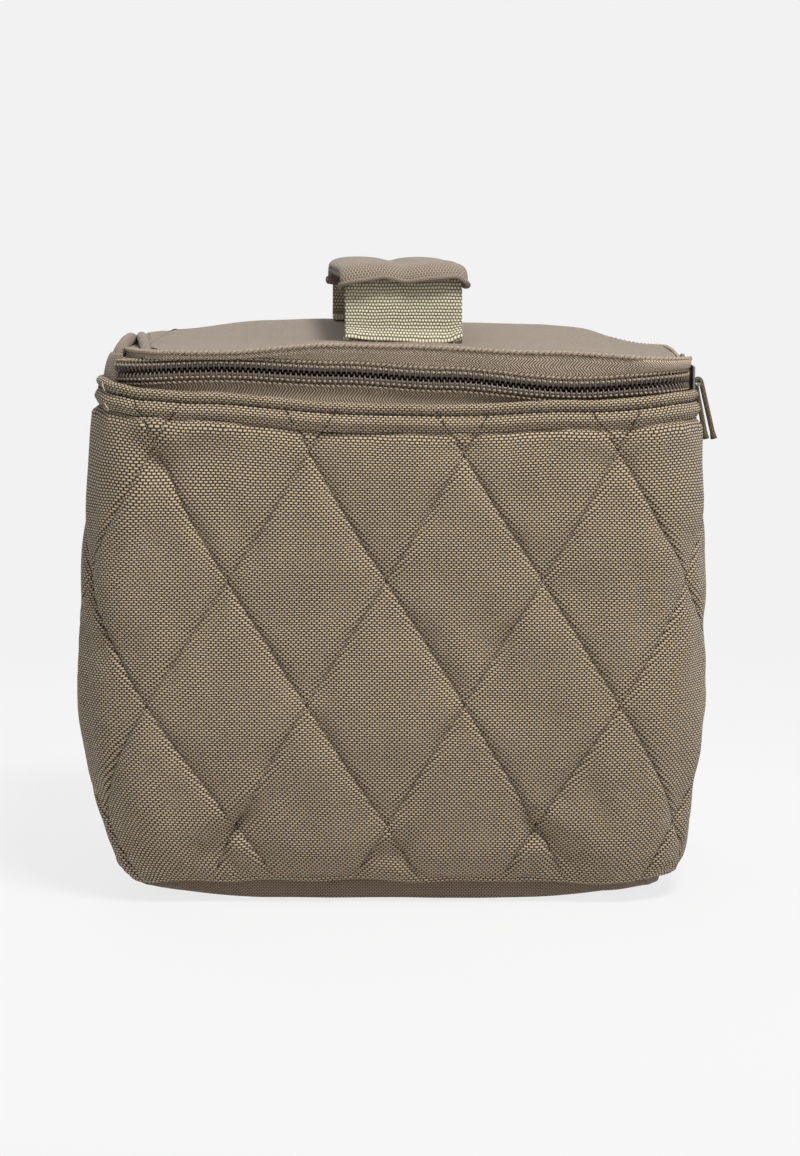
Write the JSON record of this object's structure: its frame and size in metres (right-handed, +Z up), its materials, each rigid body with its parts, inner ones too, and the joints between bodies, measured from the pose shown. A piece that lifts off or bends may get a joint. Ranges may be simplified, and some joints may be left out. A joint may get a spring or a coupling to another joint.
{
  "type": "cosmetic case",
  "caption": "Soft quilted cosmetic case with a zipped padded lid, folded side gussets and a webbing top handle.",
  "frame": {"origin": "middle of the flat base, on the surface that the case stands on", "axes": "+X to the right seen from the front, +Y to the back, where the lid hinges, +Z up"},
  "size_m": [0.2198, 0.1476, 0.2206],
  "materials": {
    "quilted_fabric": "coarse basket weave, quilted in diamonds",
    "plain_fabric": "finer plain weave of the lid, gussets and grip",
    "base_fabric": "plain weave",
    "lining_fabric": "thin smooth lining",
    "board": "plain sheet",
    "zip_tape": "herringbone tape",
    "zip_coil": "satin nylon coil",
    "slider_metal": "dull nickel",
    "pull_cord": "waxed braid",
    "strap_webbing": "ribbed webbing"
  },
  "bodies": {
    "case": {"quilted_band": "quilted_fabric", "back_panel": "quilted_fabric", "base_panel": "base_fabric", "base_board": "board", "lining_floor": "lining_fabric", "lining_walls": "lining_fabric", "lower_zip_tape": "zip_tape", "lower_zip_coil": "zip_coil", "left_zip_end_tab": "plain_fabric", "right_zip_end_tab": "plain_fabric", "left_gusset": "plain_fabric", "right_gusset": "plain_fabric", "hinge_strip": "plain_fabric"},
    "lid": {"lid_panel": "plain_fabric", "lid_lining": "lining_fabric", "upper_zip_tape": "zip_tape", "upper_zip_coil": "zip_coil", "handle_backing": "board", "handle_strap": "strap_webbing", "handle_grip": "plain_fabric"},
    "slider": {"zip_slider": "slider_metal"},
    "pull": {"zip_pull_cord": "pull_cord"}
  },
  "joints": [
    {"name": "lid_hinge", "type": "hinge", "parent": "case", "child": "lid", "pos_m": [0, 0.067, 0.187], "axis": [-1, 0, 0], "range_deg": [0, 60], "deforming": ["left_gusset", "right_gusset"]},
    {"name": "slider_run", "type": "hinge", "parent": "case", "child": "slider", "pos_m": [0.078, -0.046, 0.1785], "axis": [0, 0, -1], "range_deg": [0, 88]},
    {"name": "pull_swing", "type": "hinge", "parent": "slider", "child": "pull", "pos_m": [0.104, -0.046, 0.1785], "axis": [0, -1, 0], "range_deg": [-13, 120]}
  ]
}
